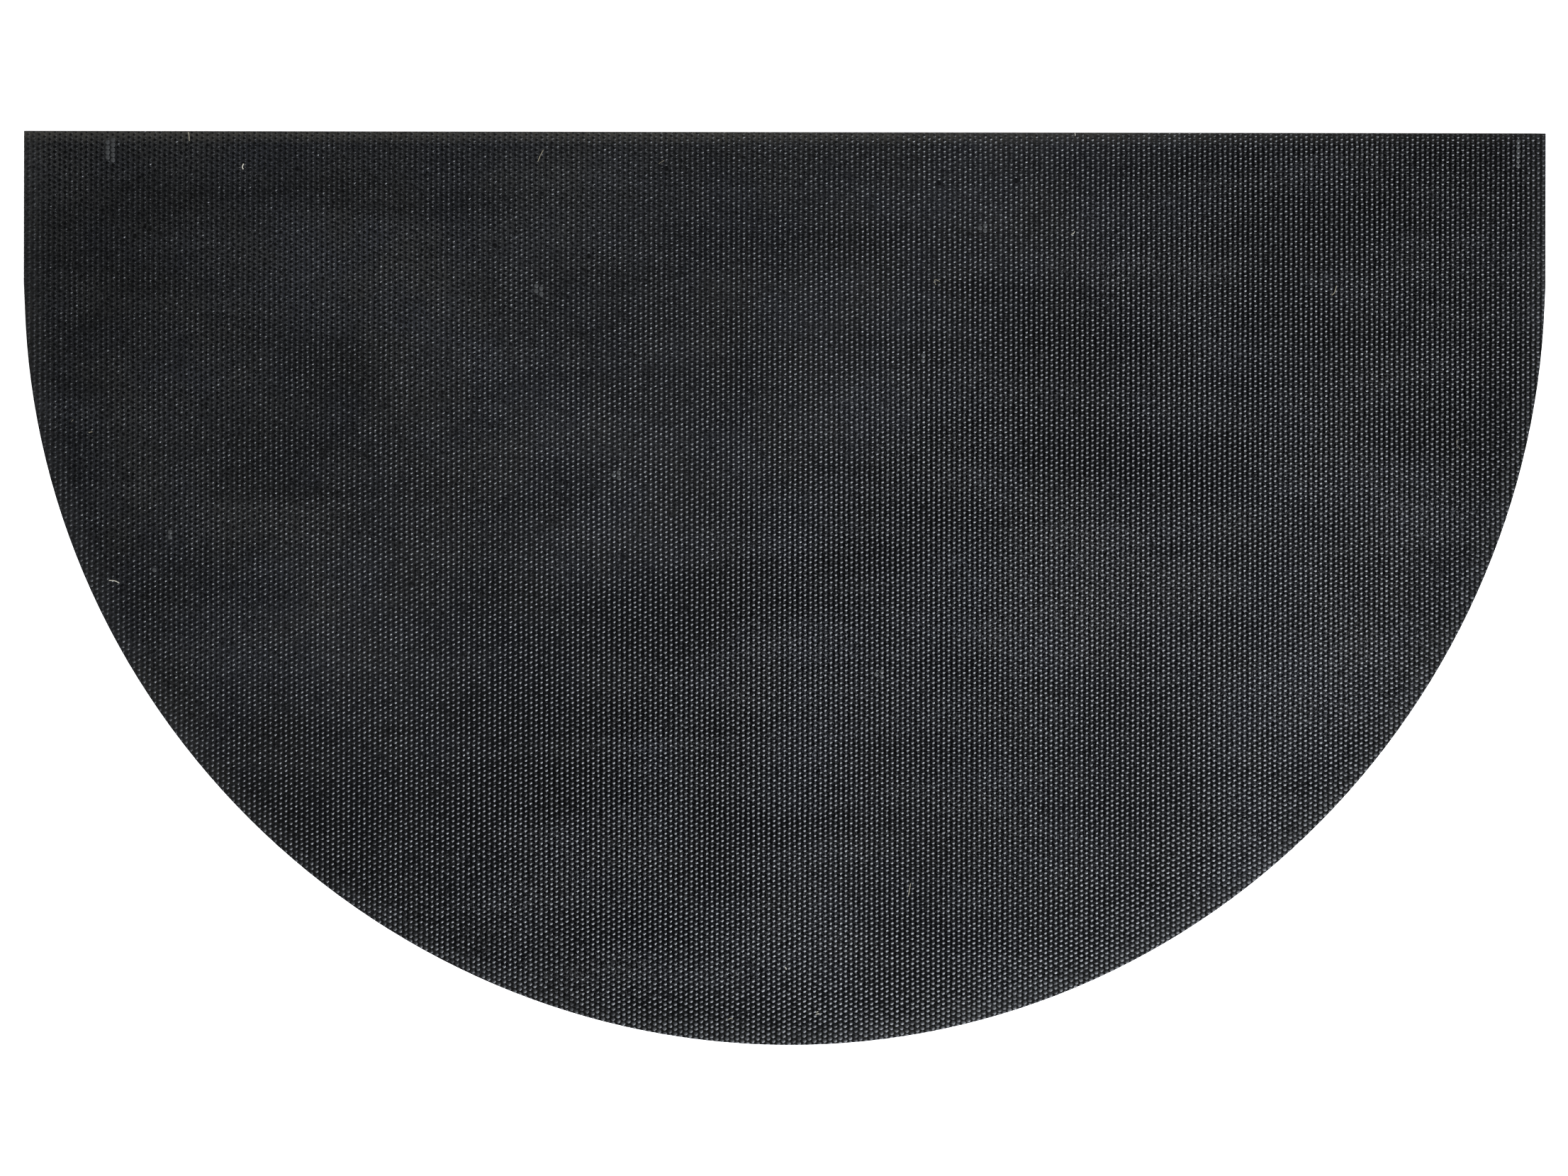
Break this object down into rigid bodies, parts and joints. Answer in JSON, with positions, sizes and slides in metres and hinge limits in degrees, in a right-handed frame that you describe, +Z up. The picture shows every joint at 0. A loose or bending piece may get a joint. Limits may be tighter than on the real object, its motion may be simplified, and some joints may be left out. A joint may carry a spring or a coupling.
{
  "type": "coir doormat",
  "caption": "Half-round coir doormat with a studded black vinyl backing, lying flat with its coir pile down and its backing up.",
  "frame": {"origin": "middle of the mat's box, on the surface that the pile tips touch", "axes": "+X along the straight edge, +Y towards the straight edge, +Z up, out of the studded backing"},
  "size_m": [0.75, 0.45, 0.015],
  "materials": {
    "vinyl": "semi-gloss black vinyl with small moulded studs, slightly dusty",
    "coir": "dense upright coconut fibre, cut level, natural golden brown"
  },
  "bodies": {
    "root": {"backing": "vinyl", "coir_pile": "coir"}
  },
  "joints": []
}
